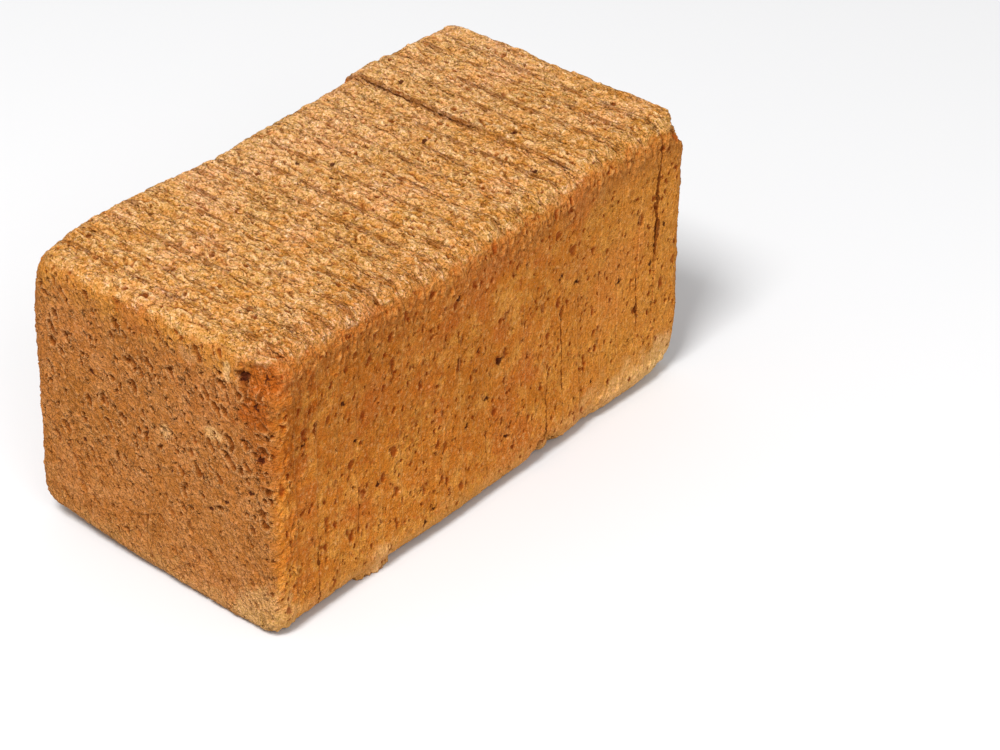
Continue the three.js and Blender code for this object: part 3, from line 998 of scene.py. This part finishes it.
def crust_finish():
    """One material for crust and crumb. Each region has a base of a few colours in patches, a darker
    colour painted into the hollows of its fine bumps as painted shade and a paler one on their ridges as
    painted highlight. Painted shade darkens it further in pinholes, cracks, creases, the hollows of the
    mesh, pits and torn cuts, painted shadow darkens the holes, and painted highlight lightens the high
    places of the mesh. The foot is painted paler for the light that the table throws back."""
    finish = Finish("baked_crust")
    values = (finish.value(name) for name in VALUES)
    top, end, crumb, apart, torn, hollow, cavity, hole, orange, cream = values
    along, across, height = (finish.coordinate(axis) for axis in range(3))
    flank = 1.0 - top - end
    lid = top.ease(0.3, 1.0)
    broad = finish.noise(22 * MM, 2.0)
    patch = finish.noise(7 * MM, 3.0)
    blotch = finish.noise(2.6 * MM, 2.0, roughness=0.6)
    speckle_and_shade = finish.noise(0.75 * MM, 1.0, roughness=0.7)
    crumbs = finish.noise(2.0 * MM, 3.0, stretch=(1, 0.55, 1), roughness=0.65)
    flake = finish.noise(2.2 * MM, 3.0, stretch=(1, 0.45, 1), roughness=0.6)
    streak = finish.noise(1.3 * MM, 3.0, stretch=(1, 1, 0.65), roughness=0.65)
    slant = finish.noise(1.3 * MM, 3.0, roughness=0.6, places=finish.slanted())
    fold = finish.noise(2.4 * MM, 2.0, roughness=0.6, places=finish.slanted())
    pinhole = finish.pinholes(1.8 * MM, finish.slanted()) * end
    pinhole = pinhole + finish.pinholes(2.1 * MM, finish.place((1, 1, 0.7))) * flank
    pinhole = pinhole * patch.ease(0.4, 0.6)
    fleck = finish.pinholes(1.9 * MM, finish.place((1, 1, 0.85))) * blotch.ease(0.45, 0.6) * (1.0 - top)

    def by_region(on_top, on_flank, on_end):
        return finish.mix(lid, finish.mix(end, on_flank, on_end), on_top)

    far_side = across.ease(-30 * MM, 50 * MM) * along.ease(-110 * MM, 0.0)
    near_side = (1.0 - across.ease(-56 * MM, -26 * MM)) * (1.0 - along.ease(-70 * MM, 20 * MM))
    top_colour = finish.layers(
        GOLD,
        (patch.ease(0.35, 0.65), SAND),
        (broad.ease(0.5, 0.68) * 0.45, ROSE),
        (far_side * 0.16, TOP_PALE_AND_HIGHLIGHT),
        (near_side * 0.45, FLANK_DULL),
    )
    upper = (height + (patch - 0.5) * 20 * MM).ease(84 * MM, 100 * MM)
    # The foot band, where light thrown back by the table is painted on as a paler colour.
    foot_level = height - along.ease(30 * MM, 100 * MM) * 8 * MM + (patch - 0.5) * 30 * MM
    foot = 1.0 - foot_level.ease(3 * MM, 14 * MM)
    flank_colour = finish.layers(
        FLANK_BROWN,
        (patch.ease(0.4, 0.7), FLANK_TAN),
        (broad.ease(0.5, 0.68) * 0.6, FLANK_RED),
        (blotch.ease(0.56, 0.68) * 0.6, FLANK_RED),
        ((1.0 - blotch.ease(0.30, 0.40)) * 0.4, FLANK_PALE_AND_HIGHLIGHT),
        (along.ease(20 * MM, 80 * MM) * 0.45, FLANK_TAN),
        (upper * 0.6, FLANK_DULL),
        # painted light on the foot, for the light the table throws back
        (foot * 0.75, finish.mix(along.ease(20 * MM, 95 * MM), FOOT_BOUNCE_TAN, FOOT_BOUNCE_PALE)),
    )
    golden = (height + (patch - 0.5) * 30 * MM).ease(90 * MM, 106 * MM)
    end_colour = finish.layers(
        END_BROWN,
        (patch.ease(0.4, 0.7), END_TAN),
        (golden, END_GOLD),
        # painted light on the foot of the end, for the light the table throws back
        (foot * 0.7, END_FOOT_BOUNCE),
    )
    # Painted shade for the hollows of the fine bumps.
    dark = by_region(TOP_VALLEY_SHADE, FLANK_VALLEY_SHADE, END_VALLEY_SHADE)
    # Painted highlight for the ridges of the fine bumps and the high places of the mesh, and the pale colour
    # of specks.
    light = by_region(TOP_PALE_AND_HIGHLIGHT, FLANK_PALE_AND_HIGHLIGHT, END_HIGHLIGHT)
    # Painted shade for pits, pinholes and the hollows of the mesh.
    deep = by_region(HOLLOW_SHADE_BROWN, FLANK_PIT_SHADE, END_PIT_SHADE)

    # The texture is the same noise as the fine bumps of the bump below, so the colour paints shade into
    # their hollows and highlight onto their ridges.
    texture = top * crumbs + flank * streak + end * slant
    colour = finish.layers(
        by_region(top_colour, flank_colour, end_colour),
        (orange.ease(0.0, 1.0) * 0.85, SCAR_ORANGE),
        (cream.ease(0.0, 1.0) * 0.6, CREAM),
        # painted shade in the hollows and painted highlight on the ridges of the fine bumps
        ((1.0 - texture.ease(0.30, 0.50)) * (0.22 + 0.28 * top), dark),
        (texture.ease(0.50, 0.70) * (0.20 + 0.25 * top), light),
        (fleck * 0.35, light),
    )
    # The fine tone follows the same noise that raises the finest bumps: partly the crust's own speckle,
    # partly painted shade in their hollows and painted highlight on their tops. The broad tone is the
    # crust's own.
    colour = finish.shade(colour, (speckle_and_shade - 0.5) * (1.1 + 1.0 * top) + (broad - 0.5) * 0.4 + 1.0)
    # Cracks on the top and creases on the end, darkened below as painted shade.
    crack = (1.0 - flake.away_from(0.5).ease(0.0, 0.035)) * top * (0.3 + 0.7 * blotch.ease(0.42, 0.6))
    wrinkle = (1.0 - fold.away_from(0.5).ease(0.0, 0.03)) * end
    away = apart - torn.ease(1.0, 3.5) * flank * 0.9 + (blotch - 0.5) * 0.9 + (speckle_and_shade - 0.5) * 0.6
    closed = (1.0 - away.ease(0.05, 0.30)) * flank * (1.0 - torn.ease(0.0, 0.3))
    # Where a cut is torn, painted shade darkens the groove along it.
    torn_cut_shade = (1.0 - away.ease(0.08, 0.5)) * torn.ease(0.05, 0.9)
    colour = finish.layers(
        colour,
        # painted shade in cracks and creases
        (crack * 0.5 + wrinkle * 0.2, CREVICE_SHADE),
        # painted shade in pinholes
        (pinhole * 0.3, deep),
        # painted shade in the low places of the mesh
        (cavity.ease(0.02, 0.45) * 0.8, deep),
        # painted highlight on the high places of the mesh
        ((0.0 - cavity).ease(0.05, 0.6) * 0.5, light),
        # painted shade in pits
        (hollow.ease(-0.2, 0.9) * 0.75, deep),
        (closed * 0.25, light),
        # painted shade in torn cuts
        (torn_cut_shade * (0.85 - 0.3 * top), CREVICE_SHADE),
        (crumb.ease(0.4, 1.0), finish.mix(blotch.ease(0.4, 0.7), CRUMB_CREAM, CRUMB_SHADE)),
        # painted shadow in the holes
        (hole.ease(0.1, 0.6) * 0.9, HOLE_SHADOW),
    )

    finish.feed(finish.shader, {"Base Color": colour, "Roughness": 0.8 + (blotch - 0.5) * 0.3})
    finish.shader.inputs["Specular IOR Level"].default_value = 0.05
    rise = top * (crumbs * 3.2 - crack * 0.9) + flank * streak * 1.6 + end * slant * 1.0 + speckle_and_shade * 1.2
    finish.bump(rise - pinhole * 0.9 - wrinkle * 0.6, 0.6 * MM)
    return finish.material


crust = crust_finish()
print("crust finish has", len(crust.node_tree.nodes), "nodes")

# %% [markdown]
# ## Baking the pieces
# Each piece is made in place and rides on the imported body, and stands for its own plain solid.

# %% Make every piece
triangle_total = 0
for number, node in enumerate(NAMES):
    loaf_piece = piece_body(number)
    mesh = make_mesh(f"bread_{node}", loaf_piece)
    mesh.materials.append(crust)
    bread = bpy.data.objects.new(f"bread_{node}", mesh)
    bpy.context.scene.collection.objects.link(bread)
    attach(bread, "root")
    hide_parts(node)
    triangle_total += sum(len(quads) for quads in loaf_piece.quads) * 2
    triangle_total += sum(len(triangles) for triangles in loaf_piece.triangles)
print(len(NAMES), "pieces,", triangle_total, "triangles")
